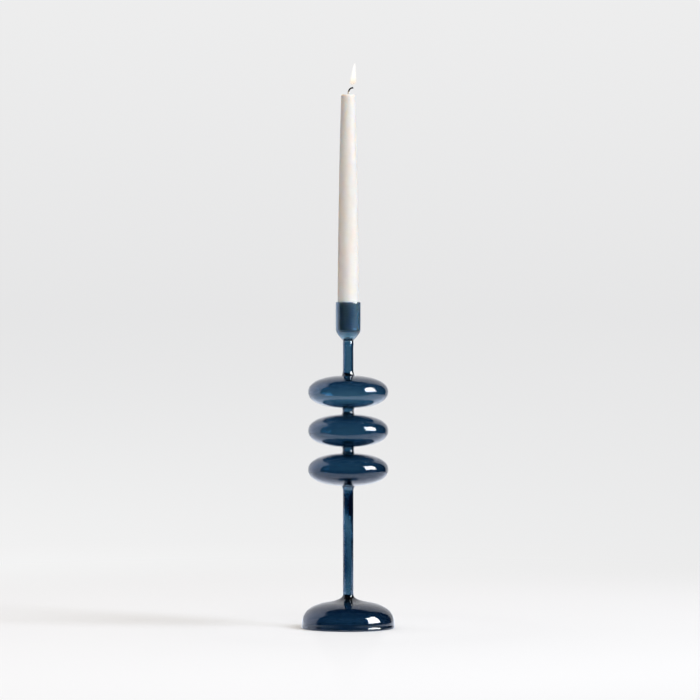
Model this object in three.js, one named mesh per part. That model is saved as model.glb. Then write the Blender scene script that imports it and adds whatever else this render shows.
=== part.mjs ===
// A tall candlestick of dark blue blown glass, with the taper candle that stands in it.
//
// Millimetres, +Z up. The origin is on the candlestick's axis, on the plane that the foot stands on.
// The candlestick is lampworked: a hollow foot, two stems and two necks of glass tube, three hollow
// discs and a candle cup, fused end to end. Every piece but the wick is turned about the one axis,
// and neighbours meet on a flat ring, at the same height. The bore of the tube runs on through the
// necks and discs, and ends at the solid middle of the foot and at the bottom of the cup.
import * as THREE from "three";

const FACETS = 32; // round the axis
const CURVE_STEPS = 6; // along each curve of an outline
const DISC_STEPS = 14; // along the side of a disc

// Glass tube: the stems, and the bore that the necks and discs share.
const STEM_RADIUS = 5.5;
const BORE_RADIUS = 3.7;
// Where a tube is fused to a disc it swells to this radius.
const SEAM_RADIUS = 7;

// The foot: a low hollow dome, open below, drawn up into the lower stem.
const FOOT_RIM_RADIUS = 48.4;
const FOOT_BEAD = 0.4; // how far the rim's bead stands out past the wall
const FOOT_BEAD_HEIGHT = 1.6; // where the bead is widest
const FOOT_WALL = 3;
const FOOT_SIDE_HEIGHT = 4.5; // where the upright side starts to round over
const FOOT_CROWN_RADIUS = 25.4; // where the dome turns from convex to hollow
const FOOT_CROWN_HEIGHT = 26.4;
const FOOT_HEIGHT = 35;
const FOOT_BORE_DEPTH = 2.2; // how far the bore of the stem reaches down into the solid middle
const FOOT_CEILING_RISE = 2.4; // the hollow's highest point, above its height at the crown

// How far the curves of the dome head on from each end before they turn, outwards and upwards.
const SHOULDER_FROM_SIDE = [0, 11];
const SHOULDER_TO_CROWN = [17, -4.1];
const CROWN_TO_STEM = [-8.9, 1.6];
const STEM_TO_CROWN = [0.2, -5.4];
const HOLLOW_FROM_CROWN = [15, -3.8];
const HOLLOW_TO_SIDE = [0, 9.5];

// Three equal discs, one above another.
const DISC_RADIUS = 42;
const DISC_HALF_HEIGHT = 17.3;
const DISC_FULLNESS = 2.25; // an ellipse is 2, and more than 2 is blunter at the rim
const DISC_WALL = 2.2;
const DISC_PITCH = 40.7;
const LOWEST_DISC_HEIGHT = 165.8; // its centre

const NECK_WAIST_RADIUS = 6.1;
const COLLAR_HEIGHT = 4.4;
const COLLAR_EDGE = [6.6, -1.3]; // radius of the collar's edge, and its height from the collar's top
const UPPER_STEM_SWELL = 5; // how far up the stem the swelling reaches

// The candle cup: a straight socket with a rounded bottom that closes on the upper stem.
const CUP_RADIUS = 13.1;
const CUP_WALL = 1.4;
const CUP_BOTTOM = 301.3;
const CUP_BOTTOM_RADIUS = 5.6;
const CUP_BOTTOM_DIMPLE = 0.6; // how far the bore of the stem reaches up into it
const CUP_SHOULDER = 313.3;
const CUP_RIM = 341;
const CUP_LIP = 0.5; // the rounding of the rim's two edges
const CUP_FLOOR = 303.2; // the lowest point inside
const CUP_FROM_BOTTOM = [2.7, 2.7];
const CUP_TO_SHOULDER = [0, -5];
const SEAT_HEIGHT = 311.5; // a narrow ledge inside, which the candle rests on
const SEAT_RADIUS = 10.6;
const BOWL_FROM_SEAT = [-0.3, -3.3];
const BOWL_TO_FLOOR = [7.3, 0];

// A ten inch taper for a seven eighths inch socket, burned a little way down.
const CANDLE_BASE_RADIUS = 11.1;
const CANDLE_BASE_BEVEL = 0.6;
const CANDLE_BELLY = 0.1; // how far the side's tangents meet inside the base radius, halfway up
const CANDLE_TOP_RADIUS = 7.4;
const CANDLE_TOP = 558.5;
const CANDLE_EDGE = 1.3; // the rounding of its upper edge
const MELT_POOL_DEPTH = 1.6;
const WICK_HOLE_RADIUS = 1.2;

const WICK_RADIUS = 0.9;
const WICK_START = 0.3; // above the candle's base
const WICK_TOP = 565.6; // the height of its centre line at the tip
const WICK_REACH = 5.2; // how far the burned tip leans over
const WICK_STEPS = 60;

// A point of a disc's outline, for a given share of the way from its equator to its pole.
function discPoint(radius, halfHeight, share) {
  const turn = (share * Math.PI) / 2;
  return [
    radius * Math.cos(turn) ** (2 / DISC_FULLNESS),
    halfHeight * Math.sin(turn) ** (2 / DISC_FULLNESS),
  ];
}

// How much of the way to the pole a disc's outline is at a given distance from the axis.
function discShare(radius, atRadius) {
  return (Math.acos((atRadius / radius) ** (DISC_FULLNESS / 2)) * 2) / Math.PI;
}

// The flat rings where a disc meets its neighbours, above and below the disc's centre.
const ringShare = discShare(DISC_RADIUS, SEAM_RADIUS);
const discRing = discPoint(DISC_RADIUS, DISC_HALF_HEIGHT, ringShare)[1];
const discHeight = (number) => LOWEST_DISC_HEIGHT + number * DISC_PITCH;

const glass = new THREE.MeshStandardMaterial({
  color: 0x1c3f5f, roughness: 0.03, metalness: 0, transparent: true, opacity: 0.8,
});
const wax = new THREE.MeshStandardMaterial({ color: 0xf2ece0, roughness: 0.45, metalness: 0 });
const cotton = new THREE.MeshStandardMaterial({ color: 0x3a332d, roughness: 0.95, metalness: 0 });

// A solid of revolution. The outline lies in the plane of radius and height and runs anticlockwise.
function turned(name, outline, material) {
  const geometry = new THREE.LatheGeometry(outline.getPoints(CURVE_STEPS), FACETS);
  geometry.rotateX(Math.PI / 2);
  const mesh = new THREE.Mesh(geometry, material);
  mesh.name = name;
  return mesh;
}

// Goes round a cubic curve from one point to another. Each of its ends heads for the point at the
// given distance from it, outwards and upwards.
function curve(outline, start, heading, arriving, end) {
  outline.bezierCurveTo(
    start[0] + heading[0], start[1] + heading[1], end[0] + arriving[0], end[1] + arriving[1], ...end,
  );
}

// Closes the outline of a tube piece: in along its top ring, down the bore and out again.
function closeWithBore(outline, bottom, top) {
  outline.lineTo(BORE_RADIUS, top);
  outline.lineTo(BORE_RADIUS, bottom);
  outline.closePath();
}

// An even dome, open below: upright side with a bead at its rim, rounded shoulder, hollow crown, and
// a solid middle drawn up to the stem.
function makeFoot() {
  const outline = new THREE.Path();
  const innerRadius = FOOT_RIM_RADIUS - FOOT_WALL;
  const innerCrown = [FOOT_CROWN_RADIUS - 0.6, FOOT_CROWN_HEIGHT - FOOT_WALL];
  const ceiling = innerCrown[1] + FOOT_CEILING_RISE;
  const crown = [FOOT_CROWN_RADIUS, FOOT_CROWN_HEIGHT];
  const rimEdge = 0.3;
  outline.moveTo(0, ceiling);
  outline.quadraticCurveTo(innerCrown[0] / 2, ceiling, ...innerCrown);
  curve(outline, innerCrown, HOLLOW_FROM_CROWN, HOLLOW_TO_SIDE, [innerRadius, FOOT_SIDE_HEIGHT]);
  outline.lineTo(innerRadius, rimEdge);
  outline.lineTo(innerRadius + rimEdge, 0);
  outline.lineTo(FOOT_RIM_RADIUS - FOOT_BEAD_HEIGHT / 2, 0);
  outline.quadraticCurveTo(
    FOOT_RIM_RADIUS + FOOT_BEAD, 0, FOOT_RIM_RADIUS + FOOT_BEAD, FOOT_BEAD_HEIGHT,
  );
  outline.lineTo(FOOT_RIM_RADIUS, FOOT_SIDE_HEIGHT);
  curve(outline, [FOOT_RIM_RADIUS, FOOT_SIDE_HEIGHT], SHOULDER_FROM_SIDE, SHOULDER_TO_CROWN, crown);
  curve(outline, crown, CROWN_TO_STEM, STEM_TO_CROWN, [STEM_RADIUS, FOOT_HEIGHT]);
  outline.lineTo(BORE_RADIUS, FOOT_HEIGHT);
  outline.quadraticCurveTo(BORE_RADIUS, FOOT_HEIGHT - FOOT_BORE_DEPTH, 0, FOOT_HEIGHT - FOOT_BORE_DEPTH);
  return turned("foot", outline, glass);
}

// Plain tube from the foot up to the collar.
function makeLowerStem(top) {
  const outline = new THREE.Path();
  outline.moveTo(STEM_RADIUS, FOOT_HEIGHT);
  outline.lineTo(STEM_RADIUS, top);
  closeWithBore(outline, FOOT_HEIGHT, top);
  return turned("lower_stem", outline, glass);
}

// The short flared ring under the lowest disc.
function makeStemCollar(bottom, top) {
  const outline = new THREE.Path();
  outline.moveTo(STEM_RADIUS, bottom);
  outline.lineTo(COLLAR_EDGE[0], top + COLLAR_EDGE[1]);
  outline.lineTo(SEAM_RADIUS, top);
  closeWithBore(outline, bottom, top);
  return turned("stem_collar", outline, glass);
}

// A hollow flattened globe, with an even wall and a round opening above and below.
function makeDisc(name, centre) {
  const outline = new THREE.Path();
  const innerRadius = DISC_RADIUS - DISC_WALL;
  const innerHalfHeight = DISC_HALF_HEIGHT - DISC_WALL;
  const boreShare = discShare(innerRadius, BORE_RADIUS);
  outline.moveTo(SEAM_RADIUS, centre - discRing);
  for (let step = 1; step <= DISC_STEPS; step++) {
    const share = ringShare * ((2 * step) / DISC_STEPS - 1);
    const [radius, height] = discPoint(DISC_RADIUS, DISC_HALF_HEIGHT, Math.abs(share));
    outline.lineTo(radius, centre + Math.sign(share) * height);
  }
  outline.lineTo(BORE_RADIUS, centre + discRing);
  for (let step = 0; step <= DISC_STEPS; step++) {
    const share = boreShare * (1 - (2 * step) / DISC_STEPS);
    const [radius, height] = discPoint(innerRadius, innerHalfHeight, Math.abs(share));
    outline.lineTo(radius, centre + Math.sign(share) * height);
  }
  outline.lineTo(BORE_RADIUS, centre - discRing);
  outline.closePath();
  return turned(name, outline, glass);
}

// A waisted spool of tube between two discs.
function makeNeck(name, bottom, top) {
  const outline = new THREE.Path();
  const tangentsMeet = 2 * NECK_WAIST_RADIUS - SEAM_RADIUS;
  outline.moveTo(SEAM_RADIUS, bottom);
  outline.quadraticCurveTo(tangentsMeet, (bottom + top) / 2, SEAM_RADIUS, top);
  closeWithBore(outline, bottom, top);
  return turned(name, outline, glass);
}

// Tube that swells where it is fused to the highest disc.
function makeUpperStem(bottom) {
  const outline = new THREE.Path();
  outline.moveTo(SEAM_RADIUS, bottom);
  outline.quadraticCurveTo(STEM_RADIUS, bottom + 1, STEM_RADIUS, bottom + UPPER_STEM_SWELL);
  outline.lineTo(STEM_RADIUS, CUP_BOTTOM);
  closeWithBore(outline, bottom, CUP_BOTTOM);
  return turned("upper_stem", outline, glass);
}

// The socket: a straight wall, a narrow ledge, and a rounded bottom that closes the bore of the stem.
function makeCup() {
  const outline = new THREE.Path();
  const socketRadius = CUP_RADIUS - CUP_WALL;
  const underside = CUP_BOTTOM + CUP_BOTTOM_DIMPLE;
  const bottomEdge = [CUP_BOTTOM_RADIUS, CUP_BOTTOM];
  outline.moveTo(0, underside);
  outline.quadraticCurveTo(BORE_RADIUS, underside, BORE_RADIUS, CUP_BOTTOM);
  outline.lineTo(...bottomEdge);
  curve(outline, bottomEdge, CUP_FROM_BOTTOM, CUP_TO_SHOULDER, [CUP_RADIUS, CUP_SHOULDER]);
  outline.lineTo(CUP_RADIUS, CUP_RIM - CUP_LIP);
  outline.quadraticCurveTo(CUP_RADIUS, CUP_RIM, CUP_RADIUS - CUP_LIP, CUP_RIM);
  outline.lineTo(socketRadius + CUP_LIP, CUP_RIM);
  outline.quadraticCurveTo(socketRadius, CUP_RIM, socketRadius, CUP_RIM - CUP_LIP);
  outline.lineTo(socketRadius, SEAT_HEIGHT);
  outline.lineTo(SEAT_RADIUS, SEAT_HEIGHT);
  curve(outline, [SEAT_RADIUS, SEAT_HEIGHT], BOWL_FROM_SEAT, BOWL_TO_FLOOR, [0, CUP_FLOOR]);
  return turned("candle_cup", outline, glass);
}

// A slightly bellied taper, with a wick hole through it and a shallow melt pool on top.
function makeCandle() {
  const outline = new THREE.Path();
  const edge = CANDLE_TOP - CANDLE_EDGE;
  const pool = CANDLE_TOP - MELT_POOL_DEPTH;
  outline.moveTo(WICK_HOLE_RADIUS, SEAT_HEIGHT);
  outline.lineTo(CANDLE_BASE_RADIUS - CANDLE_BASE_BEVEL, SEAT_HEIGHT);
  outline.lineTo(CANDLE_BASE_RADIUS, SEAT_HEIGHT + CANDLE_BASE_BEVEL);
  outline.quadraticCurveTo(
    CANDLE_BASE_RADIUS - CANDLE_BELLY, (SEAT_HEIGHT + edge) / 2, CANDLE_TOP_RADIUS, edge,
  );
  outline.quadraticCurveTo(CANDLE_TOP_RADIUS, CANDLE_TOP, CANDLE_TOP_RADIUS - CANDLE_EDGE, CANDLE_TOP);
  outline.quadraticCurveTo(CANDLE_TOP_RADIUS / 2, pool, WICK_HOLE_RADIUS, pool);
  outline.closePath();
  return turned("taper_candle", outline, wax);
}

// A straight wick the length of the candle, whose burned end leans over in a hook.
function makeWick() {
  const bend = new THREE.Vector3(0, 0, CANDLE_TOP - MELT_POOL_DEPTH);
  const centreLine = new THREE.CurvePath();
  centreLine.add(new THREE.LineCurve3(new THREE.Vector3(0, 0, SEAT_HEIGHT + WICK_START), bend));
  centreLine.add(new THREE.CubicBezierCurve3(
    bend,
    new THREE.Vector3(0, 0, (bend.z + WICK_TOP) / 2),
    new THREE.Vector3(WICK_REACH / 4, 0, WICK_TOP),
    new THREE.Vector3(WICK_REACH, 0, WICK_TOP),
  ));
  const section = new THREE.Shape();
  section.absarc(0, 0, WICK_RADIUS, 0, 2 * Math.PI, false);
  const geometry = new THREE.ExtrudeGeometry(section, {
    extrudePath: centreLine, steps: WICK_STEPS, curveSegments: 3, bevelEnabled: false,
  });
  const mesh = new THREE.Mesh(geometry, cotton);
  mesh.name = "wick";
  return mesh;
}

const collarTop = discHeight(0) - discRing;
const collarBottom = collarTop - COLLAR_HEIGHT;

const holder = new THREE.Group();
holder.add(
  makeFoot(),
  makeLowerStem(collarBottom),
  makeStemCollar(collarBottom, collarTop),
  makeDisc("lower_disc", discHeight(0)),
  makeNeck("lower_neck", discHeight(0) + discRing, discHeight(1) - discRing),
  makeDisc("middle_disc", discHeight(1)),
  makeNeck("upper_neck", discHeight(1) + discRing, discHeight(2) - discRing),
  makeDisc("upper_disc", discHeight(2)),
  makeUpperStem(discHeight(2) + discRing),
  makeCup(),
);

const candle = new THREE.Group();
candle.add(makeCandle(), makeWick());

const candlestick = new THREE.Group();
candlestick.add(holder, candle);

export default candlestick;
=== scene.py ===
"""A tall candlestick of dark blue blown glass with a lit taper, in a plain pale studio.

Metres, in the frame of the CAD model: +Z up, the candlestick's axis at x = y = 0, the floor at z = 0.
Outlines and shapes are worked out in millimetres and brought to metres when their mesh is made.
"""

import math

import bpy
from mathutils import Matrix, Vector, noise


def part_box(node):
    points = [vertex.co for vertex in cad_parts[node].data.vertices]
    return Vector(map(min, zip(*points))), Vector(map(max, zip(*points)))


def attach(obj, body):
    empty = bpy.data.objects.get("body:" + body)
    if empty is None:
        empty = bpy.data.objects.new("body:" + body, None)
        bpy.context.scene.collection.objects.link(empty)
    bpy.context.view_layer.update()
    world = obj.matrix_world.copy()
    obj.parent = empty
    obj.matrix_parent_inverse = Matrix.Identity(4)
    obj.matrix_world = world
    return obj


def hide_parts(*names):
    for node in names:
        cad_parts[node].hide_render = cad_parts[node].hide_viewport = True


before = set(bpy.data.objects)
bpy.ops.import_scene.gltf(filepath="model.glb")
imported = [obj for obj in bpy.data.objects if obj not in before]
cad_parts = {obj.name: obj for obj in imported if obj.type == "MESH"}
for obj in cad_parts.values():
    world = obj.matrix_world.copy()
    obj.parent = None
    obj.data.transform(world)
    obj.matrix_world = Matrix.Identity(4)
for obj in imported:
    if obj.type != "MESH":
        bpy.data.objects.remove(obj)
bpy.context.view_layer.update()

MM = 0.001
SEGMENTS = 144  # round the axis of a turned piece
SHARP_EDGE = math.radians(50)  # a crease sharper than this isn't smoothed

# Glass tube, in millimetres.
STEM_RADIUS = 5.5
BORE_RADIUS = 3.7
MOUTH_RADIUS = 4.7  # the wider opening in the underside of each disc
SEAM_RADIUS = 7.0  # where a tube flares out over the disc that it is fused to


# ---------------------------------------------------------------------------
# Where the pieces are, from the CAD nodes
# ---------------------------------------------------------------------------

def extent(node):
    """A turned node's radius, lowest and highest point, in millimetres."""
    low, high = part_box(node)
    return (high[0] - low[0]) / 2 / MM, low[2] / MM, high[2] / MM


# ---------------------------------------------------------------------------
# Outlines: lists of (radius, height) in millimetres, anticlockwise
# ---------------------------------------------------------------------------

def bezier(start, leave, arrive, end, steps):
    """The points of a cubic curve after its start."""
    points = []
    for step in range(1, steps + 1):
        t = step / steps
        a, b, c, d = (1 - t) ** 3, 3 * t * (1 - t) ** 2, 3 * t * t * (1 - t), t ** 3
        points.append(tuple(
            a * p + b * q + c * r + d * s for p, q, r, s in zip(start, leave, arrive, end)
        ))
    return points


def curve(outline, leave, arrive, end, steps):
    """Carries an outline on from its last point by a cubic curve."""
    outline.extend(bezier(outline[-1], leave, arrive, end, steps))


def full_ellipse(height, radii, fullness, first, last, steps):
    """Points of an ellipse about the axis that is blunter at its rim, from one angle to another."""
    points = []
    for step in range(steps + 1):
        a = first + (last - first) * step / steps
        rise = math.copysign(abs(math.sin(a)) ** (2 / fullness), a)
        points.append((radii[0] * math.cos(a) ** (2 / fullness), height + radii[1] * rise))
    return points


def upright(radius, bottom, top, steps):
    """Evenly spaced points on a straight wall, up or down."""
    return [(radius, bottom + (top - bottom) * step / steps) for step in range(steps + 1)]


# ---------------------------------------------------------------------------
# Meshes
# ---------------------------------------------------------------------------

def make_object(name, vertices, faces, body, material, replaced=()):
    """A smooth-shaded mesh from millimetres, riding on a body in place of some CAD nodes."""
    mesh = bpy.data.meshes.new(name)
    mesh.from_pydata([tuple(c * MM for c in v) for v in vertices], [], faces)
    mesh.validate()
    mesh.polygons.foreach_set("use_smooth", [True] * len(mesh.polygons))
    mesh.set_sharp_from_angle(angle=SHARP_EDGE)
    mesh.materials.append(material)
    piece = bpy.data.objects.new(name, mesh)
    bpy.context.scene.collection.objects.link(piece)
    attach(piece, body)
    if replaced:
        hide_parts(*replaced)
    return piece


def bands(rings, sides, closed):
    """The faces between each ring of points and the next, and from the last to the first if closed."""
    faces = []
    for i in range(rings if closed else rings - 1):
        a, b = i * sides, (i + 1) % rings * sides
        for k in range(sides):
            n = (k + 1) % sides
            faces.append((a + k, a + n, b + n, b + k))
    return faces


def close_tips(vertices, faces, sides, start, end):
    """Adds a point before the first ring and one after the last, with a fan of faces round each."""
    top = len(vertices) - sides
    first, last = len(vertices), len(vertices) + 1
    vertices += [start, end]
    for k in range(sides):
        n = (k + 1) % sides
        faces.append((first, n, k))
        faces.append((last, top + k, top + n))


def turn(outline, shape=None, segments=SEGMENTS):
    """Vertices and faces of an outline turned about the axis.

    An outline that starts and ends on the axis closes there, and any other closes on itself.
    shape(radius, height, angle) gives a point's own radius and height, for handmade unevenness.
    """
    on_axis = outline[0][0] == 0
    rings = outline[1:-1] if on_axis else outline
    vertices = []
    for radius, height in rings:
        for k in range(segments):
            angle = 2 * math.pi * k / segments
            r, z = shape(radius, height, angle) if shape else (radius, height)
            vertices.append((r * math.cos(angle), r * math.sin(angle), z))
    faces = bands(len(rings), segments, closed=not on_axis)
    if on_axis:
        close_tips(vertices, faces, segments, (0, 0, outline[0][1]), (0, 0, outline[-1][1]))
    return vertices, faces


def uneven(seed, amount, wavelength, low, high, edge=3.0):
    """A shape for turn(): blown glass wanders by amount, and not at all where it meets a neighbour.

    It settles down over the last stretch, edge long, below high and above low.
    """
    def shape(radius, height, angle):
        place = Vector((radius * math.cos(angle), radius * math.sin(angle), height)) / wavelength
        wander = noise.noise(place + Vector((seed, 0, 0)))
        hold = max(0.0, min(1.0, min(height - low, high - height) / edge))
        thin = min(1.0, radius / 10)  # thin parts wander less
        return radius + amount * wander * hold * thin, height
    return shape


# ---------------------------------------------------------------------------
# Materials
# ---------------------------------------------------------------------------

class Nodes:
    """Short calls for building one material's node tree. Most give a node's output, to pass on."""

    def __init__(self, name):
        self.material = bpy.data.materials.new(name)
        self.material.use_nodes = True
        self.tree = self.material.node_tree
        self.tree.nodes.clear()
        self.output = self.add("ShaderNodeOutputMaterial")
        self.place = self.add("ShaderNodeTexCoord").outputs["Object"]

    def add(self, kind, **settings):
        node = self.tree.nodes.new(kind)
        for key, value in settings.items():
            setattr(node, key, value)
        return node

    def put(self, value, socket):
        """Sets a socket to a constant, or links another node's output to it."""
        if isinstance(value, bpy.types.NodeSocket):
            self.tree.links.new(value, socket)
        else:
            socket.default_value = value

    def maths(self, operation, first, second=0.0, third=0.0):
        node = self.add("ShaderNodeMath", operation=operation)
        for value, socket in zip((first, second, third), node.inputs):
            self.put(value, socket)
        return node.outputs[0]

    def product(self, first, *others):
        for other in others:
            first = self.maths("MULTIPLY", first, other)
        return first

    def xyz(self, vector):
        """The three parts of a vector."""
        split = self.add("ShaderNodeSeparateXYZ")
        self.put(vector, split.inputs[0])
        return split.outputs["X"], split.outputs["Y"], split.outputs["Z"]

    def scaled(self, vector, scale):
        node = self.add("ShaderNodeVectorMath", operation="MULTIPLY")
        self.put(vector, node.inputs[0])
        self.put(scale, node.inputs[1])
        return node.outputs[0]

    def noise(self, vector, scale, detail=2.0, roughness=0.5, distortion=0.0):
        node = self.add("ShaderNodeTexNoise")
        self.put(vector, node.inputs["Vector"])
        node.inputs["Scale"].default_value = scale
        node.inputs["Detail"].default_value = detail
        node.inputs["Roughness"].default_value = roughness
        node.inputs["Distortion"].default_value = distortion
        return node.outputs["Fac"]

    def between(self, value, low, high, to_low, to_high, smooth=False):
        """A value carried over from the range low to high, to the range to_low to to_high."""
        node = self.add("ShaderNodeMapRange")
        if smooth:
            node.interpolation_type = "SMOOTHSTEP"
        for given, socket in zip((value, low, high, to_low, to_high), node.inputs):
            self.put(given, socket)
        return node.outputs[0]

    def mix(self, factor, first, second):
        node = self.add("ShaderNodeMix", data_type="RGBA")
        self.put(factor, node.inputs["Factor"])
        self.put(first, node.inputs["A"])
        self.put(second, node.inputs["B"])
        return node.outputs["Result"]

    def ramp(self, factor, stops):
        node = self.add("ShaderNodeValToRGB")
        self.put(factor, node.inputs["Fac"])
        elements = node.color_ramp.elements
        while len(elements) < len(stops):
            elements.new(0.5)
        for element, (position, colour) in zip(elements, stops):
            element.position = position
            element.color = (*colour, 1)
        return node.outputs["Color"]

    def bump(self, height, distance, normal=None):
        node = self.add("ShaderNodeBump")
        node.inputs["Strength"].default_value = 1.0
        node.inputs["Distance"].default_value = distance
        self.put(height, node.inputs["Height"])
        if normal:
            self.put(normal, node.inputs["Normal"])
        return node.outputs["Normal"]

    def glow(self, colour, strength=1.0):
        node = self.add("ShaderNodeEmission")
        self.put(colour, node.inputs["Color"])
        self.put(strength, node.inputs["Strength"])
        return node.outputs[0]

    def mix_shader(self, factor, first, second):
        node = self.add("ShaderNodeMixShader")
        for value, socket in zip((factor, first, second), node.inputs):
            self.put(value, socket)
        return node.outputs[0]

    def axis_parts(self):
        """How far a point is from the axis, its height, and the two as a vector."""
        x, y, z = self.xyz(self.place)
        squares = self.maths("ADD", self.product(x, x), self.product(y, y))
        radius = self.maths("SQRT", squares)
        join = self.add("ShaderNodeCombineXYZ")
        self.put(radius, join.inputs["X"])
        self.put(z, join.inputs["Z"])
        return radius, z, join.outputs[0]


# How strongly the blue glass takes up red, green and blue light, per metre.
GLASS_ABSORPTION = (855.0, 572.0, 430.0)
CLEAN, SMUDGED = 0.004, 0.022  # the roughness of its skin
GROUND = 0.4  # and how much rougher it is where it is ground


def glass_material(name, lengthwise, ground_below=None):
    """Dark blue transparent glass, with faint flame-worked ripples, draw lines and smudges.

    lengthwise glass was drawn as tube, so its lines run up it; turned glass has them round the axis.
    Below the height ground_below it is ground matt, as the foot's rim is where it stands.
    """
    n = Nodes(name)
    _, height, turned = n.axis_parts()
    shader = n.add("ShaderNodeBsdfPrincipled")
    shader.inputs["Transmission Weight"].default_value = 1.0
    shader.inputs["IOR"].default_value = 1.5

    ripple = n.noise(n.place, 55.0, detail=1.0)
    if lengthwise:
        lines = n.noise(n.scaled(n.place, (900, 900, 8)), 1.0)
    else:
        lines = n.noise(turned, 420.0)
    n.put(n.bump(lines, 0.000001, n.bump(ripple, 0.00001)), shader.inputs["Normal"])

    smudge = n.noise(n.place, 38.0, detail=4.0, roughness=0.62, distortion=0.6)
    roughness = n.between(smudge, 0.45, 0.75, CLEAN, SMUDGED)
    if ground_below:
        ground = n.between(height, ground_below * 0.5, ground_below, 1.0, 0.0)
        roughness = n.maths("MULTIPLY_ADD", ground, GROUND, roughness)
    n.put(roughness, shader.inputs["Roughness"])

    streak = n.noise(n.place, 90.0, detail=3.0, roughness=0.6, distortion=1.2)
    tint = n.mix(n.between(streak, 0.35, 0.7, 0.0, 1.0), (1, 1, 1, 1), (0.93, 0.96, 0.985, 1))
    n.put(tint, shader.inputs["Base Color"])
    n.put(shader.outputs[0], n.output.inputs["Surface"])

    # Blender's absorption is the density times one less the colour.
    density = max(GLASS_ABSORPTION)
    inside = n.add("ShaderNodeVolumeAbsorption")
    inside.inputs["Color"].default_value = (*(1 - a / density for a in GLASS_ABSORPTION), 1)
    inside.inputs["Density"].default_value = density
    n.put(inside.outputs[0], n.output.inputs["Volume"])
    return n.material


IVORY = (0.935, 0.908, 0.862, 1)
DULL_IVORY = (0.91, 0.87, 0.81, 1)
WHITE_IVORY = (0.95, 0.935, 0.90, 1)
# Painted glow: the warm colour that the wax takes on near its top, as if lit by the flame.
FLAME_GLOW_IVORY = (0.95, 0.90, 0.83, 1)


def wax_material(top):
    """Ivory wax: light sinks in, with a mottled satin skin, faint drawn lines and a glossy melt pool.

    top is the height of the candle, in metres. Near its top the wax is painted warmer, a painted glow of
    the flame.
    """
    n = Nodes("ivory_wax")
    radius, height, _ = n.axis_parts()
    shader = n.add("ShaderNodeBsdfPrincipled", subsurface_method="BURLEY")
    mottle = n.noise(n.place, 160.0, detail=4.0, roughness=0.6)
    cloud = n.noise(n.scaled(n.place, (1, 1, 0.35)), 45.0, detail=3.0)
    base = n.mix(n.between(mottle, 0.3, 0.7, 0.0, 1.0), IVORY, DULL_IVORY)
    base = n.mix(n.between(cloud, 0.4, 0.7, 0.0, 0.55), base, WHITE_IVORY)
    # Painted glow: the wax turns warmer over the last 22 mm below its top.
    painted_flame_glow = n.between(height, top - 0.022, top, 0.0, 0.5, smooth=True)
    n.put(n.mix(painted_flame_glow, base, FLAME_GLOW_IVORY), shader.inputs["Base Color"])

    shader.inputs["Subsurface Weight"].default_value = 1.0
    shader.inputs["Subsurface Radius"].default_value = (1.0, 0.4, 0.15)
    shader.inputs["Subsurface Scale"].default_value = 0.005
    shader.inputs["IOR"].default_value = 1.44
    shader.inputs["Specular IOR Level"].default_value = 0.2
    skin = n.between(mottle, 0.3, 0.75, 0.36, 0.56)
    # The pool is inside the rim, and only just below it: its surface is smoother than the skin.
    in_pool = n.product(
        n.between(radius, 0.0052, 0.0060, 1.0, 0.0),
        n.between(height, top - 0.003, top - 0.002, 0.0, 1.0),
    )
    n.put(n.maths("MULTIPLY_ADD", in_pool, -0.3, skin), shader.inputs["Roughness"])

    drawn = n.noise(n.scaled(n.place, (700, 700, 14)), 1.0, detail=3.0)
    pits = n.noise(n.place, 900.0, detail=2.0)
    normal = n.bump(drawn, 0.00005, n.bump(pits, 0.00002, n.bump(cloud, 0.00025)))
    n.put(normal, shader.inputs["Normal"])
    n.put(shader.outputs[0], n.output.inputs["Surface"])
    return n.material


def wick_material(char_from, char_to):
    """Braided cotton, cream below and charred black at its end."""
    n = Nodes("braided_wick")
    fibre = n.noise(n.scaled(n.place, (1, 1, 0.4)), 5200.0, detail=3.0)
    ragged = n.maths("MULTIPLY_ADD", fibre, 0.0012, n.xyz(n.place)[2])
    burned = n.between(ragged, char_from, char_to, 0.0, 1.0)
    colour = n.ramp(burned, [
        (0.0, (0.80, 0.74, 0.62)), (0.35, (0.52, 0.42, 0.28)),
        (0.6, (0.10, 0.065, 0.04)), (1.0, (0.012, 0.011, 0.011)),
    ])
    colour = n.mix(n.between(fibre, 0.3, 0.7, 0.0, 0.45), colour, (0.02, 0.018, 0.016, 1))
    shader = n.add("ShaderNodeBsdfPrincipled")
    n.put(colour, shader.inputs["Base Color"])
    n.put(n.between(fibre, 0.2, 0.8, 0.75, 1.0), shader.inputs["Roughness"])
    n.put(n.bump(fibre, 0.00012), shader.inputs["Normal"])
    n.put(shader.outputs[0], n.output.inputs["Surface"])
    return n.material


def flame_material(name, bottom, top, opacity, strength):
    """One shell of glowing gas: amber at its foot, near white above, fading out at its tip."""
    n = Nodes(name)
    flicker = n.noise(n.scaled(n.place, (1, 1, 0.3)), 420.0, detail=2.0)
    height = n.maths("MULTIPLY_ADD", n.maths("SUBTRACT", flicker, 0.5), 0.003, n.xyz(n.place)[2])
    rise = n.between(height, bottom, top, 0.0, 1.0)
    colour = n.ramp(rise, [
        (0.0, (1.0, 0.74, 0.50)), (0.16, (1.0, 0.88, 0.73)),
        (0.34, (1.0, 0.98, 0.92)), (1.0, (1.0, 0.995, 0.97)),
    ])
    foot = n.between(rise, 0.0, 0.3, 0.15, 1.0, smooth=True)
    tip = n.between(rise, 0.8, 1.0, 1.0, 0.25, smooth=True)
    clear = n.add("ShaderNodeBsdfTransparent").outputs[0]
    flame = n.mix_shader(n.product(foot, tip, opacity), clear, n.glow(colour, strength))
    n.put(flame, n.output.inputs["Surface"])
    return n.material


# ---------------------------------------------------------------------------
# The glass
# ---------------------------------------------------------------------------

blown_glass = glass_material("blown_blue_glass", lengthwise=False)
drawn_glass = glass_material("drawn_blue_glass", lengthwise=True)


def make_glass(node, outline, material, shape=None):
    """The piece of glass that stands for a CAD node, from its outline."""
    vertices, faces = turn(outline, shape)
    make_object("glass_" + node, vertices, faces, "holder", material, [node])


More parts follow.
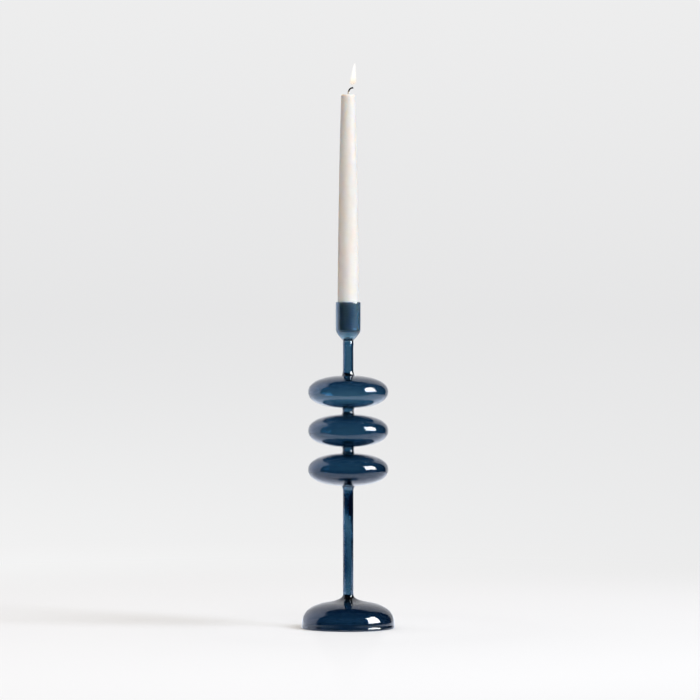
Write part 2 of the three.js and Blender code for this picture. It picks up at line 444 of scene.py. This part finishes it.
def make_foot():
    """A blown dome, open below, with a bead round its rim and its middle drawn up into the stem.

    Its heights are from the floor that it stands on.
    """
    radius, bottom, top = extent("foot")
    side = radius - 0.4  # the bead at the rim stands out past the side
    wall = 3.0
    inside = side - wall
    shoulder = 4.5
    crown, crown_height = 25.4, 26.4
    hollow, hollow_height = crown - 0.6, crown_height - wall
    ceiling = hollow_height + 2.4
    # The hollow, from the axis out and down to the rim.
    outline = [(0, ceiling)]
    curve(outline, (8, ceiling), (17, ceiling - 0.9), (hollow, hollow_height), 14)
    curve(outline, (hollow + 15, hollow_height - 3.8), (inside, shoulder + 9.5), (inside, shoulder), 30)
    curve(outline, (inside, 2.2), (inside - 0.35, 0.15), (inside + 0.45, 0), 10)
    # The flat ring that it stands on, and the bead.
    curve(outline, (inside + 0.9, 0), (side - 1.2, 0), (side - 0.8, 0), 3)
    curve(outline, (side + 0.1, 0), (radius, 0.5), (radius, 1.5), 8)
    curve(outline, (radius, 2.6), (side + 0.04, 3.0), (side, shoulder), 8)
    # The outside, up to the stem, and the rounded bottom of the bore.
    curve(outline, (side, shoulder + 11), (crown + 17, crown_height - 4.1), (crown, crown_height), 36)
    curve(outline, (crown - 8.9, crown_height + 1.6), (STEM_RADIUS + 0.2, top - 5.4),
          (STEM_RADIUS, top), 30)
    outline.append((BORE_RADIUS, top))
    curve(outline, (BORE_RADIUS, top - 1.5), (1.9, top - 2.2), (0, top - 2.2), 8)
    material = glass_material("foot_glass", lengthwise=False, ground_below=0.0005)
    make_glass("foot", outline, material, uneven(3.1, 0.06, 30, bottom, top))


# The bore of the lower stem was worked narrow near its top, and it is slightly narrow lower down.
# Listed in millimetres: the depth below the top, the share of its plain width that the bore has
# there, and how far it strays to the left.
STEM_BORE = [
    (0, 1.0, 0.0), (2, 0.88, 0.1), (5, 0.6, 0.4), (10, 0.42, 0.6),
    (16, 0.42, 1.1), (22, 0.66, 1.5), (29, 0.97, 0.4), (38, 1.0, 0.0),
    (54, 0.9, -0.1), (80, 0.84, -0.4), (98, 0.95, 0.0), (106, 1.0, 0.0),
]


def stem_bore(depth):
    """The share of its plain width that the bore has at a depth, and how far it strays to the left."""
    for (above, wide, left), (below, next_wide, next_left) in zip(STEM_BORE, STEM_BORE[1:]):
        if depth <= below:
            t = (depth - above) / (below - above)
            t = t * t * (3 - 2 * t)  # no kink where two stretches meet
            return wide + (next_wide - wide) * t, left + (next_left - left) * t
    return STEM_BORE[-1][1:]


def make_lower_stem():
    """A plain tube outside, with an uneven bore."""
    _, bottom, top = extent("lower_stem")
    outline = upright(STEM_RADIUS, bottom, top, 40) + upright(BORE_RADIUS, top, bottom, 60)
    vertices, faces = turn(outline, uneven(8.7, 0.16, 24, bottom, top, edge=8))
    inside = (STEM_RADIUS + BORE_RADIUS) / 2  # only the points of the bore are nearer the axis
    for i, (x, y, z) in enumerate(vertices):
        if math.hypot(x, y) < inside:
            wide, left = stem_bore(max(top - z, 0))
            vertices[i] = (x * wide - left, y * wide, z)
    make_object("glass_lower_stem", vertices, faces, "holder", drawn_glass, ["lower_stem"])


def make_collar():
    """A short ring that flares out under the lowest disc, as its bore widens into the disc's mouth."""
    _, bottom, top = extent("stem_collar")
    outline = [(STEM_RADIUS, bottom)]
    curve(outline, (STEM_RADIUS + 0.1, bottom + 1.3), (6.2, top - 2.2), (6.5, top - 1.5), 8)
    curve(outline, (6.75, top - 0.9), (6.6, top - 0.5), (SEAM_RADIUS, top), 6)
    outline.append((MOUTH_RADIUS, top))
    curve(outline, (MOUTH_RADIUS, top - 1.4), (BORE_RADIUS, bottom + 1.4), (BORE_RADIUS, bottom), 8)
    vertices, faces = turn(outline)
    make_object("glass_collar", vertices, faces, "holder", blown_glass, ["stem_collar"])


DISC_FULLNESS = 2.25  # an ellipse is 2


def make_disc(node, wall, sag, seed):
    """A hollow flattened globe whose wall runs out smoothly into the bore above and below.

    The glass moved while it was hot: the hollow lies lower than the outside by sag, which may be
    negative.
    """
    radius, bottom, top = extent(node)
    centre = (bottom + top) / 2
    power = DISC_FULLNESS / 2
    outer_turn = math.acos((SEAM_RADIUS / radius) ** power)
    half = (top - bottom) / 2 / math.sin(outer_turn) ** (1 / power)
    corner = BORE_RADIUS + 2.6  # where the inner wall starts to turn into the bore
    inner_radii = (radius - wall, half - wall)
    inner_turn = math.acos((corner / inner_radii[0]) ** power)
    inner_top = inner_radii[1] * math.sin(inner_turn) ** (1 / power)
    hollow = centre - sag
    ceiling, floor = hollow + inner_top, hollow - inner_top
    outline = full_ellipse(centre, (radius, half), DISC_FULLNESS, -outer_turn, outer_turn, 80)
    outline.append((BORE_RADIUS, top))
    curve(outline, (BORE_RADIUS, top - 1.3), (corner - 1.4, ceiling + 0.05), (corner, ceiling), 7)
    outline += full_ellipse(hollow, inner_radii, DISC_FULLNESS, inner_turn, -inner_turn, 72)[1:]
    curve(outline, (corner - 0.7, floor - 0.02), (MOUTH_RADIUS, bottom + 1.0), (MOUTH_RADIUS, bottom), 7)
    make_glass(node, outline, blown_glass, uneven(seed, 0.07, 34, bottom, top))


def make_neck(node, bore):
    """A waisted spool that flares out over the two discs, with its own bore at the waist."""
    _, bottom, top = extent(node)
    middle = (bottom + top) / 2
    waist, flare = 5.9, 6.3
    outline = [(SEAM_RADIUS, bottom)]
    curve(outline, (flare, bottom + 0.3), (waist, bottom + 1.6), (waist, middle), 12)
    curve(outline, (waist, top - 1.6), (flare, top - 0.3), (SEAM_RADIUS, top), 12)
    outline.append((MOUTH_RADIUS, top))
    curve(outline, (bore, top - 1.2), (bore, middle + 0.8), (bore, middle), 8)
    curve(outline, (bore, middle - 0.8), (BORE_RADIUS, bottom + 1), (BORE_RADIUS, bottom), 8)
    make_glass(node, outline, blown_glass)


def make_upper_stem():
    """A short tube, swollen over the disc, with a slight ring under the cup, where it was fused."""
    _, bottom, top = extent("upper_stem")
    swelling, ring, mouth = 5.95, 5.75, 4.5
    ring_from, ring_middle, bore_from = top - 6, top - 3.8, top - 5
    outline = [(SEAM_RADIUS, bottom)]
    curve(outline, (6.3, bottom + 0.2), (6.25, bottom + 1.2), (swelling, bottom + 2.2), 8)
    curve(outline, (5.6, bottom + 3.3), (STEM_RADIUS, bottom + 5), (STEM_RADIUS, bottom + 8), 8)
    outline += upright(STEM_RADIUS, bottom + 8, ring_from, 12)[1:]
    curve(outline, (STEM_RADIUS, top - 5), (ring, top - 4.6), (ring, ring_middle), 7)
    curve(outline, (ring, top - 2.6), (STEM_RADIUS, top - 2.2), (STEM_RADIUS, top), 7)
    # The bore starts wider, as the mouth in the cup's underside does.
    outline += bezier((mouth, top), (mouth, top - 2), (BORE_RADIUS, top - 2), (BORE_RADIUS, bore_from), 8)
    outline += upright(BORE_RADIUS, bore_from, bottom, 18)[1:]
    make_glass("upper_stem", outline, drawn_glass, uneven(5.5, 0.1, 18, bottom, top, edge=6))


def make_cup():
    """The socket: a straight wall with a flat polished rim, and a thin rounded bottom."""
    radius, bottom, rim = extent("candle_cup")
    seat = extent("taper_candle")[1]
    wall = 1.4
    socket = radius - wall
    shoulder = bottom + 12
    ledge = 10.8  # the candle stands on the ring between this and the socket's wall
    mouth, edge = 4.5, 5.6  # the ring that sits on the stem
    floor = bottom + 3.6  # the top of the small dome in the middle of the bottom
    lip = 0.35
    below_lip = rim - lip
    # The underside and the outside.
    outline = [(0, floor - 0.9)]
    curve(outline, (2.4, floor - 0.9), (mouth, bottom + 1.4), (mouth, bottom), 10)
    outline.append((edge, bottom))
    curve(outline, (edge + 2.7, bottom + 2.7), (radius, shoulder - 5), (radius, shoulder), 22)
    outline += upright(radius, shoulder, below_lip, 24)[1:]
    # The rim, rounded at both edges.
    curve(outline, (radius, rim - 0.15), (radius - 0.15, rim), (radius - lip, rim), 5)
    outline.append((socket + lip, rim))
    curve(outline, (socket + 0.15, rim), (socket, rim - 0.15), (socket, below_lip), 5)
    # The socket.
    outline += upright(socket, below_lip, seat + 0.5, 22)[1:]
    curve(outline, (socket, seat + 0.1), (socket - 0.1, seat), (socket - 0.5, seat), 4)
    outline.append((ledge, seat))
    curve(outline, (ledge, seat - 3.4), (7.5, bottom + 2.6), (5.5, bottom + 1.2), 18)
    curve(outline, (4.9, bottom + 0.7), (2.8, floor), (0, floor), 12)
    # The rim meets no other glass and may wander, so the still upper end is put far above it.
    make_glass("candle_cup", outline, blown_glass, uneven(6.2, 0.06, 14, bottom, rim + 30))


make_foot()
make_lower_stem()
make_collar()
make_disc("lower_disc", wall=2.6, sag=-0.3, seed=1.3)
make_neck("lower_neck", bore=3.65)
make_disc("middle_disc", wall=2.3, sag=0.0, seed=4.9)
make_neck("upper_neck", bore=3.95)
make_disc("upper_disc", wall=2.0, sag=0.4, seed=9.4)
make_upper_stem()
make_cup()


# ---------------------------------------------------------------------------
# The candle
# ---------------------------------------------------------------------------

candle_radius, candle_base, candle_top = extent("taper_candle")
wick_top = extent("wick")[2]

POOL_DEPTH = 1.6
WICK_HOLE = 1.2
TRUE_FOOT = 2  # this much at the candle's base is left true, to fit the socket
UNEVENNESS = 0.10
DRIP_ANGLE = math.radians(-12)  # the run of wax is on the right, a little towards the front
DRIP_END = candle_top - 32
DRIP_WIDTH = 1.5
RUN_DEPTH, BEAD_DEPTH = 0.16, 0.42  # how far the run and the bead at its end stand out
BEAD_SIZE = 1.5
SLUMP, SLUMP_HEIGHT = 0.25, 6  # how far the rim sinks, and how far down that goes


def candle_shape(radius, height, angle):
    """Slight unevenness of a dipped taper, a slumped rim and one run of wax with a bead at its end."""
    if radius < 6 or height < candle_base + TRUE_FOOT:
        return radius, height
    place = Vector((math.cos(angle), math.sin(angle), height / 34)) * 1.7
    settled = min(1.0, (height - candle_base - TRUE_FOOT) / 25)
    r = radius + UNEVENNESS * noise.noise(place) * settled
    across = (angle - DRIP_ANGLE + math.pi) % (2 * math.pi) - math.pi
    run = math.exp(-(across * radius / DRIP_WIDTH) ** 2)
    along = 1 / (1 + math.exp(-(height - DRIP_END) / 0.5))
    bead = math.exp(-((height - DRIP_END - 1.2) / BEAD_SIZE) ** 2)
    r += run * (RUN_DEPTH * along + BEAD_DEPTH * bead)
    slump = SLUMP * noise.noise(Vector((2 * math.cos(angle), 2 * math.sin(angle), 5)))
    fall = max(0.0, 1 - (candle_top - height) / SLUMP_HEIGHT)
    return r, height + slump * fall - SLUMP * fall


def make_candle():
    """The taper, with a hole for the wick and a shallow pool in its top."""
    top_radius, edge = 7.4, 1.3
    shoulder = candle_top - edge
    pool = candle_top - POOL_DEPTH
    foot = 0.7  # the size of the rounding at its base
    outline = [(WICK_HOLE, candle_base), (candle_radius - foot, candle_base)]
    curve(outline, (candle_radius - 0.2, candle_base), (candle_radius, candle_base + 0.2),
          (candle_radius, candle_base + foot), 5)
    # The side bellies slightly: both ends of its curve aim at one point half way up.
    middle = (candle_base + shoulder) / 2
    third = (shoulder - candle_base) / 3
    belly = candle_radius - 0.1
    leave = (candle_radius + (belly - candle_radius) * 2 / 3,
             candle_base + foot + (middle - candle_base) * 2 / 3)
    arrive = (top_radius + (belly - top_radius) * 2 / 3, shoulder - third)
    curve(outline, leave, arrive, (top_radius, shoulder), 220)
    # The rim, the pool and the wax that climbs the wick.
    rim = top_radius - edge
    curve(outline, (top_radius, shoulder + 0.8), (top_radius - 0.4, candle_top), (rim, candle_top), 8)
    curve(outline, (top_radius - 2.2, candle_top), (top_radius - 3, pool), (2.6, pool), 10)
    curve(outline, (2.0, pool), (WICK_HOLE + 0.1, pool + 0.45), (WICK_HOLE, pool + 0.5), 4)
    outline += upright(WICK_HOLE, pool - 2, candle_base + 20, 10)
    vertices, faces = turn(outline, candle_shape, segments=96)
    material = wax_material(candle_top * MM)
    make_object("wax_taper", vertices, faces, "candle", material, ["taper_candle"])


def wick_path():
    """The wick's centre line: straight up the candle, then over in a hook."""
    reach, start = 5.2, candle_top - POOL_DEPTH
    tip = wick_top - 0.8
    points = [(0, candle_base + 0.4), (0, candle_base + 80), (0, candle_base + 160), (0, start - 12)]
    points += [(0, start - 6), (0, start)]
    curve(points, (-0.2, start + 5), (reach * 0.22, tip + 0.2), (reach, tip), 34)
    return [Vector((x, 0, z)) for x, z in points]


def divided(coarse, spacing):
    """The same path with points about a spacing apart."""
    path = []
    for first, second in zip(coarse, coarse[1:]):
        count = max(1, round((second - first).length / spacing))
        path += [first.lerp(second, k / count) for k in range(count)]
    return path + [coarse[-1]]


def heading(path, i):
    """The direction of a path at one of its points."""
    before, after = path[max(i - 1, 0)], path[min(i + 1, len(path) - 1)]
    return (after - before).normalized()


def tube(centres, radii, sides):
    """Vertices and faces of a round tube with closed ends along a list of centres."""
    vertices = []
    across = Vector((0, 1, 0))
    for i, centre in enumerate(centres):
        along = heading(centres, i)
        side = (across - along * across.dot(along)).normalized()
        other = along.cross(side)
        for k in range(sides):
            a = 2 * math.pi * k / sides
            offset = side * math.cos(a) + other * math.sin(a)
            vertices.append(tuple(centre + offset * radii[i]))
    faces = bands(len(centres), sides, closed=False)
    faces.append(tuple(reversed(range(sides))))
    faces.append(tuple(range(len(vertices) - sides, len(vertices))))
    return vertices, faces


STRANDS = 3
STRAND_RADIUS = 0.46
STRAND_OFFSET = 0.4  # from the wick's centre line
TWIST_LENGTH = 4.6  # of one turn of a strand
SWELL_FROM, SWELL_OVER = 2.5, 3  # above the candle's top, where charring swells the strands
CHAR_FROM, CHAR_TO = 2.6, 4.8  # above the candle's top, where the cotton turns black


def make_wick():
    """Three cotton strands twisted round each other, swollen and ragged where they are charred."""
    path = divided(wick_path(), 1.1)
    travelled = [0.0]
    for first, second in zip(path, path[1:]):
        travelled.append(travelled[-1] + (second - first).length)
    side = Vector((0, 1, 0))
    vertices, faces = [], []
    for strand in range(STRANDS):
        centres, radii = [], []
        for i, centre in enumerate(path):
            other = heading(path, i).cross(side)
            twist = 2 * math.pi * (travelled[i] / TWIST_LENGTH + strand / STRANDS)
            burned = max(0.0, min(1.0, (centre.z - candle_top - SWELL_FROM) / SWELL_OVER))
            ragged = 0.12 * burned * noise.noise(centre * 1.3 + Vector((strand * 7, 0, 0)))
            centres.append(centre + (side * math.cos(twist) + other * math.sin(twist)) * STRAND_OFFSET)
            radii.append(STRAND_RADIUS + ragged + 0.04 * burned)
        part_vertices, part_faces = tube(centres, radii, sides=10)
        start = len(vertices)
        vertices += part_vertices
        faces += [tuple(start + v for v in face) for face in part_faces]
    material = wick_material((candle_top + CHAR_FROM) * MM, (candle_top + CHAR_TO) * MM)
    make_object("twisted_wick", vertices, faces, "candle", material, ["wick"])


FLAME_FOOT = wick_top + 1.6
FLAME_TIP = wick_top + 26.4
FLAME_START, FLAME_END = 4.6, 7.3  # how far its foot and its tip are to the right of the axis
FLAME_WIDTH = 4.5
FLAME_ROUNDING = 0.14  # the share of its height in which its foot rounds out
FLAME_FLATNESS = 0.9  # its depth from front to back, as a share of its width
FLAME_RINGS, FLAME_SIDES = 47, 32


def flame_lean(t):
    """How far to the right of the axis the flame is, from its foot at t = 0 to its tip at 1."""
    return FLAME_START + (FLAME_END - FLAME_START) * t ** 1.1 + 0.2 * math.sin(6 * t)


def make_flame_shell(name, width, opacity, strength, inset):
    """One shell of the flame. Its ends are an inset inside those of the whole flame."""
    bottom, top = FLAME_FOOT + inset, FLAME_TIP - inset
    vertices = []
    for ring in range(1, FLAME_RINGS + 1):
        t = ring / (FLAME_RINGS + 1)
        lean = flame_lean(t)
        round_foot = math.sqrt(1 - (1 - min(t / FLAME_ROUNDING, 1.0)) ** 2)
        radius = FLAME_WIDTH * width * round_foot * (1 - t) ** 0.5 * (1 - 0.32 * t)
        for k in range(FLAME_SIDES):
            a = 2 * math.pi * k / FLAME_SIDES
            x, y = lean + radius * math.cos(a), radius * FLAME_FLATNESS * math.sin(a)
            vertices.append((x, y, bottom + (top - bottom) * t))
    faces = bands(FLAME_RINGS, FLAME_SIDES, closed=False)
    close_tips(vertices, faces, FLAME_SIDES, (flame_lean(0), 0, bottom), (flame_lean(1), 0, top))
    material = flame_material(name + "_gas", bottom * MM, top * MM, opacity, strength)
    piece = make_object(name, vertices, faces, "candle", material)
    piece.visible_shadow = False


make_candle()
make_wick()
# A slim tongue that leans with the wick, of three nested shells, each brighter than the one outside.
make_flame_shell("flame_halo", width=1.0, opacity=0.2, strength=1.0, inset=0.0)
make_flame_shell("flame_body", width=0.8, opacity=0.45, strength=1.05, inset=0.5)
make_flame_shell("flame_core", width=0.56, opacity=0.85, strength=1.15, inset=1.2)


# ---------------------------------------------------------------------------
# The studio: surroundings, floor, softbox, lamps and camera
#
# As in a retouched studio photograph, three things are set apart from each other: what is seen
# straight or through the glass, what the glass mirrors, and what lights the wax and the floor.
# ---------------------------------------------------------------------------

def grey(level):
    """A neutral colour for a socket."""
    return level, level, level, 1


def after_bounce(n, path, kind):
    """One after a ray's first bounce of a kind, Diffuse or Glossy, and zero before it."""
    return n.maths("GREATER_THAN", path.outputs[kind + " Depth"], 0.5)


def seen_directly(n, path):
    """One for what is seen straight or through the glass, zero for what lights or is mirrored."""
    bounces = n.maths("ADD", path.outputs["Glossy Depth"], path.outputs["Diffuse Depth"])
    through = n.product(path.outputs["Is Transmission Ray"], n.maths("LESS_THAN", bounces, 0.5))
    return n.maths("MAXIMUM", path.outputs["Is Camera Ray"], through)


class WorldNodes(Nodes):
    """The same calls on the world's tree, where place is the direction that a ray goes in."""

    def __init__(self, world):
        world.use_nodes = True
        self.tree = world.node_tree
        self.tree.nodes.clear()
        self.output = self.add("ShaderNodeOutputWorld")
        self.place = self.add("ShaderNodeTexCoord").outputs["Generated"]


# Bearings are from straight behind the object, to the right.
PAPER_RIGHT = math.radians(42)  # the white paper behind the object ends here
PAPER_LEFT = math.radians(-93)  # and a white card carries it round to here
CARD_FULL, CARD_END = math.radians(-60), math.radians(-15)  # the card blends into the paper
PAPER_TOP = math.radians(56)
SOFT_EDGE = math.radians(2.0)
OVERHEAD_FROM, OVERHEAD_FULL = math.radians(42), math.radians(60)
VIEW_EDGE = 0.11  # about the slope from the middle of the camera's view to its edge

# What the glass mirrors.
DARK_ROOM = (0.022, 0.026, 0.033, 1)
WHITE_PAPER = (0.86, 0.88, 0.93, 1)
WHITE_CARD = (1.36, 1.46, 1.74, 1)
# What lights the wax and the floor, besides the lamps.
ROOM_LIGHT = (0.026, 0.024, 0.022, 1)
PAPER_LIGHT = (0.365, 0.295, 0.21, 1)
OVERHEAD_LIGHT = (1.755, 1.70, 1.64, 1)


def paper_cover(n, bearing, elevation):
    """One where the paper and the card stand, zero in the dark room in front, to the right and above."""
    left = n.between(bearing, PAPER_LEFT - SOFT_EDGE, PAPER_LEFT + SOFT_EDGE, 0.0, 1.0)
    right = n.between(bearing, PAPER_RIGHT - SOFT_EDGE, PAPER_RIGHT + SOFT_EDGE, 1.0, 0.0)
    below = n.between(elevation, PAPER_TOP - SOFT_EDGE, PAPER_TOP + SOFT_EDGE, 1.0, 0.0)
    return n.product(left, right, below)


def plain_surroundings(n, bearing, up):
    """What is seen behind the object: pale, slightly darker half way up, lightest at the lower left."""
    pale = n.ramp(n.between(up, -VIEW_EDGE, VIEW_EDGE, 0.0, 1.0), [
        (0.0, (0.87, 0.87, 0.87)), (0.28, (0.825, 0.827, 0.83)),
        (0.55, (0.79, 0.79, 0.795)), (1.0, (0.85, 0.85, 0.852)),
    ])
    low = n.between(up, -0.09, 0.0, 1.0, 0.0, smooth=True)
    leftward = n.between(bearing, -VIEW_EDGE, VIEW_EDGE, 1.0, 0.0)
    return n.mix(n.product(low, leftward), pale, grey(0.90))


def make_world():
    """Plain pale surroundings in every direction, for what is seen straight or through the glass.

    Reflections show white paper behind and to the left and a dark room elsewhere. Matt surfaces are
    lit by the same paper, more weakly, and by a glow overhead.
    """
    world = bpy.data.worlds.new("studio")
    bpy.context.scene.world = world
    n = WorldNodes(world)
    path = n.add("ShaderNodeLightPath")
    x, y, up = n.xyz(n.place)
    bearing = n.maths("ARCTAN2", x, y)
    elevation = n.maths("ARCSINE", up)
    paper = paper_cover(n, bearing, elevation)
    card = n.between(bearing, CARD_FULL, CARD_END, 1.0, 0.0, smooth=True)
    mirrored = n.mix(paper, DARK_ROOM, n.mix(card, WHITE_PAPER, WHITE_CARD))
    overhead = n.between(elevation, OVERHEAD_FROM, OVERHEAD_FULL, 0.0, 1.0, smooth=True)
    on_matt = n.mix(overhead, n.mix(paper, ROOM_LIGHT, PAPER_LIGHT), OVERHEAD_LIGHT)
    room = n.mix(after_bounce(n, path, "Diffuse"), mirrored, on_matt)
    seen = n.mix(seen_directly(n, path), room, plain_surroundings(n, bearing, up))
    background = n.add("ShaderNodeBackground")
    n.put(seen, background.inputs["Color"])
    n.put(background.outputs[0], n.output.inputs["Surface"])


FLOOR_RADIUS = 1.6
FLOOR_FADE = 0.45  # the floor starts to fade this far from the axis
SEEN_FADE_END = 1.12  # where it is seen directly it has turned into the backdrop here
FADE_END = 1.5  # and for reflections and light it ends here
BACKDROP_END = 1.55
BACKDROP_SIDE = 0.45  # painted shade: the backdrop's glow darkens from this far on the left to as far on the right
MIRRORED_END, MIRRORED_FULL = -0.30, -0.24  # how far towards the camera reflections show it
# A painted glow: the floor gives off this bluish light only where the glass mirrors it.
MIRRORED_GLOW_COLOUR, MIRRORED_GLOW = (0.62, 0.75, 1.0, 1), 0.7
THROWN_BACK = (0.45, 0.34, 0.23, 1)  # the floor's colour for the light that it throws on things


def painted_foot_reflection(n, across, depth):
    """The share of a painted reflection of the foot: a faint shade on the floor in front of it.

    It is about as wide as the foot there, narrows towards the camera and fades out.
    """
    front = -0.05  # the foot's front edge
    narrowest, faded = -0.42, -0.75
    half_width, soft_side, strength = 0.028, 0.022, 0.42
    reach = n.between(depth, narrowest, front, 0.0, 1.0)
    aside = n.maths("MULTIPLY_ADD", reach, -half_width, n.maths("ABSOLUTE", across))
    return n.product(
        n.between(aside, 0.0, soft_side, 1.0, 0.0, smooth=True),
        n.between(depth, faded, front, 0.0, strength),
        n.between(depth, -0.04, 0.0, 1.0, 0.0),  # it ends under the foot
    )


def floor_colour(n, path, across, depth, far):
    """White paper with a fine grain, in the tones that the floor has round the object.

    Painted light and shade: it darkens to the right, is lighter close to the foot, through which real
    light would pass, and shows a painted reflection of the foot. The light that it throws back on other
    things is warm and weak.
    """
    grain = n.noise(n.place, 900.0, detail=3.0)
    white = n.mix(grain, grey(0.80), grey(0.83))
    # Painted shade: the paper is darker towards the right.
    painted_shade_to_right = n.between(across, -0.3, 0.4, 0.0, 0.6)
    white = n.mix(painted_shade_to_right, white, grey(0.75))
    # Painted light: the paper is lighter close to the foot, where real light would pass through the
    # glass.
    round_foot = n.between(far, 0.055, 0.2, 0.55, 0.0, smooth=True)
    white = n.mix(round_foot, white, grey(0.90))
    # Painted reflection: the foot's faint reflection, painted as a darker shade on the paper.
    white = n.mix(painted_foot_reflection(n, across, depth), white, grey(0.74))
    return n.mix(path.outputs["Is Diffuse Ray"], white, THROWN_BACK)


def make_floor():
    """A disc of floor that fades into the surroundings, so that no view shows its edge.

    Where it is seen directly it first turns into a backdrop that glows by itself, without noise, and
    is about as bright as the surroundings, with painted shade to the right. In reflections the floor
    gives off a painted bluish glow of its own.
    """
    bpy.ops.mesh.primitive_circle_add(vertices=96, radius=FLOOR_RADIUS, fill_type="NGON")
    floor = bpy.context.object
    floor.name = "floor"
    floor.location.z = -0.00005  # just clear of the ring that the foot stands on
    n = Nodes("floor_paper")
    path = n.add("ShaderNodeLightPath")
    across, depth, _ = n.xyz(n.place)
    far, _, _ = n.axis_parts()
    mirrored = after_bounce(n, path, "Glossy")
    plain = seen_directly(n, path)

    paper = n.add("ShaderNodeBsdfDiffuse")
    n.put(floor_colour(n, path, across, depth, far), paper.inputs["Color"])
    lit = n.add("ShaderNodeAddShader")
    n.put(paper.outputs[0], lit.inputs[0])
    # Painted glow: the floor shines bluish light into the glass's reflections of it.
    n.put(n.glow(MIRRORED_GLOW_COLOUR, n.product(mirrored, MIRRORED_GLOW)), lit.inputs[1])

    # Painted shade: the backdrop's glow is darker to the right.
    shade = n.between(across, -BACKDROP_SIDE, BACKDROP_SIDE, 0.0, 1.0)
    backdrop = n.glow(n.mix(shade, grey(0.90), grey(0.84)))
    clear = n.add("ShaderNodeBsdfTransparent").outputs[0]
    still_backdrop = n.between(far, SEEN_FADE_END, BACKDROP_END, 1.0, 0.0, smooth=True)
    beyond = n.mix_shader(n.product(plain, still_backdrop), clear, backdrop)

    fade = n.between(far, FLOOR_FADE, FADE_END, 0.0, 1.0, smooth=True)
    seen_fade = n.between(far, FLOOR_FADE, SEEN_FADE_END, 0.0, 1.0, smooth=True)
    fade = n.maths("MAXIMUM", fade, n.product(seen_fade, plain))
    front_end = n.between(depth, MIRRORED_END, MIRRORED_FULL, 1.0, 0.0)
    fade = n.maths("MAXIMUM", fade, n.product(front_end, mirrored))
    n.put(n.mix_shader(fade, lit.outputs[0], beyond), n.output.inputs["Surface"])
    floor.data.materials.append(n.material)


SOFTBOX_BEARING = math.radians(70.5)  # from the camera's side, round to the right
SOFTBOX_DISTANCE = 2.5
SOFTBOX_LOW, SOFTBOX_HIGH = 0.40, 2.45
SOFTBOX_WIDTH = 1.6
# How bright it is through the glass, in a reflection, and for the light that glass throws on wax.
SOFTBOX_THROUGH, SOFTBOX_MIRRORED, SOFTBOX_ON_MATT = 3.0, 26.0, 11.5


def make_softbox():
    """The white face that the glass shows as a highlight. It lights nothing directly."""
    place = Vector((math.sin(SOFTBOX_BEARING), -math.cos(SOFTBOX_BEARING), 0)) * SOFTBOX_DISTANCE
    place.z = (SOFTBOX_LOW + SOFTBOX_HIGH) / 2
    right, up = SOFTBOX_WIDTH / 2, (SOFTBOX_HIGH - SOFTBOX_LOW) / 2
    mesh = bpy.data.meshes.new("softbox_face")
    corners = [(-right, -up, 0), (right, -up, 0), (right, up, 0), (-right, up, 0)]
    mesh.from_pydata(corners, [], [(0, 1, 2, 3)])
    face = bpy.data.objects.new("softbox_face", mesh)
    face.location = place
    face.rotation_mode = "QUATERNION"
    face.rotation_quaternion = Vector((-place.x, -place.y, 0)).to_track_quat("-Z", "Y")
    bpy.context.scene.collection.objects.link(face)
    face.visible_camera = face.visible_diffuse = face.visible_shadow = False
    n = Nodes("softbox_cloth")
    path = n.add("ShaderNodeLightPath")
    strength = n.between(path.outputs["Glossy Depth"], 0.0, 1.0, SOFTBOX_THROUGH, SOFTBOX_MIRRORED)
    strength = n.between(path.outputs["Diffuse Depth"], 0.0, 1.0, strength, SOFTBOX_ON_MATT)
    colour = n.mix(after_bounce(n, path, "Diffuse"), grey(1), (1.05, 0.92, 1.1, 1))
    n.put(n.glow(colour, strength), n.output.inputs["Surface"])
    mesh.materials.append(n.material)


LAMPS_AIM = Vector((0, 0, 0.25))


def make_lamp(name, place, size, energy, colour):
    """A broad light aimed at the object, for the floor and the wax only."""
    data = bpy.data.lights.new(name, "AREA")
    data.shape = "SQUARE"
    data.size = size
    data.energy = energy
    data.color = colour
    lamp = bpy.data.objects.new(name, data)
    lamp.location = place
    lamp.rotation_mode = "QUATERNION"
    lamp.rotation_quaternion = (LAMPS_AIM - Vector(place)).to_track_quat("-Z", "Y")
    lamp.visible_camera = lamp.visible_glossy = lamp.visible_transmission = False
    bpy.context.scene.collection.objects.link(lamp)


def make_camera(place, lens):
    """A level camera in front of the object, looking along +Y."""
    data = bpy.data.cameras.new("camera")
    data.sensor_width = 36.0
    data.lens = lens
    data.clip_start = 0.1
    data.clip_end = 50
    camera = bpy.data.objects.new("camera", data)
    camera.location = place
    camera.rotation_euler = (math.radians(90), 0, 0)
    bpy.context.scene.collection.objects.link(camera)
    bpy.context.scene.camera = camera


make_world()
make_floor()
make_softbox()
make_lamp("key", place=(3.65, -1.63, 3.12), size=2.1, energy=136, colour=(0.92, 1.0, 1.12))
make_lamp("fill", place=(1.0, -3.0, 0.45), size=1.0, energy=43, colour=(0.99, 1.0, 1.04))
# Level, a little under the height of the cup, with a long lens: the photograph's framing.
make_camera(place=(0.0019, -3.35, 0.291), lens=164.5)

BOUNCES = 24  # enough for a ray through every wall of glass that it can meet
scene = bpy.context.scene
scene.view_settings.view_transform = "Standard"
scene.cycles.max_bounces = BOUNCES
scene.cycles.transmission_bounces = BOUNCES
scene.cycles.transparent_max_bounces = BOUNCES
